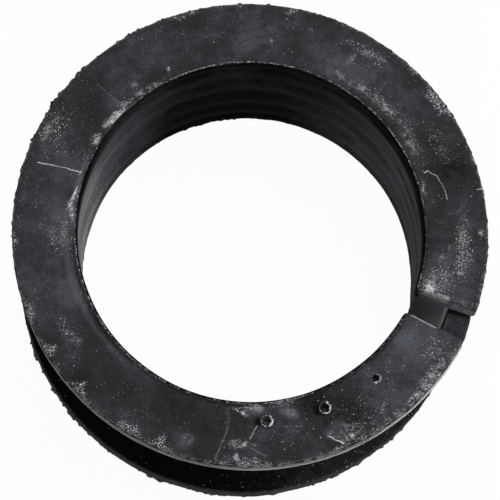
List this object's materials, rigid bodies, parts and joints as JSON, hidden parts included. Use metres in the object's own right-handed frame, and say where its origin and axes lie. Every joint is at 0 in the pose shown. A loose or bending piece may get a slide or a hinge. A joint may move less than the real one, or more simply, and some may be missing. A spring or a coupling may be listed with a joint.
{
  "type": "steering gear bushing",
  "caption": "Split rubber ring bushing with two flanges, an outer bracket groove and a ribbed bore that seats a round steering gear housing.",
  "frame": {"origin": "on the bore axis, in the bottom face that the bushing rests on", "axes": "+Z along the bore axis towards the flange with the gate marks, +X about 19 degrees anticlockwise of the split, +Y across"},
  "size_m": [0.066, 0.066, 0.0274],
  "materials": {
    "moulded_rubber": "matt moulded black rubber with a thin bloom of pale dust, dull grey where light grazes it"
  },
  "bodies": {
    "root": {"bushing": "moulded_rubber"}
  },
  "joints": []
}
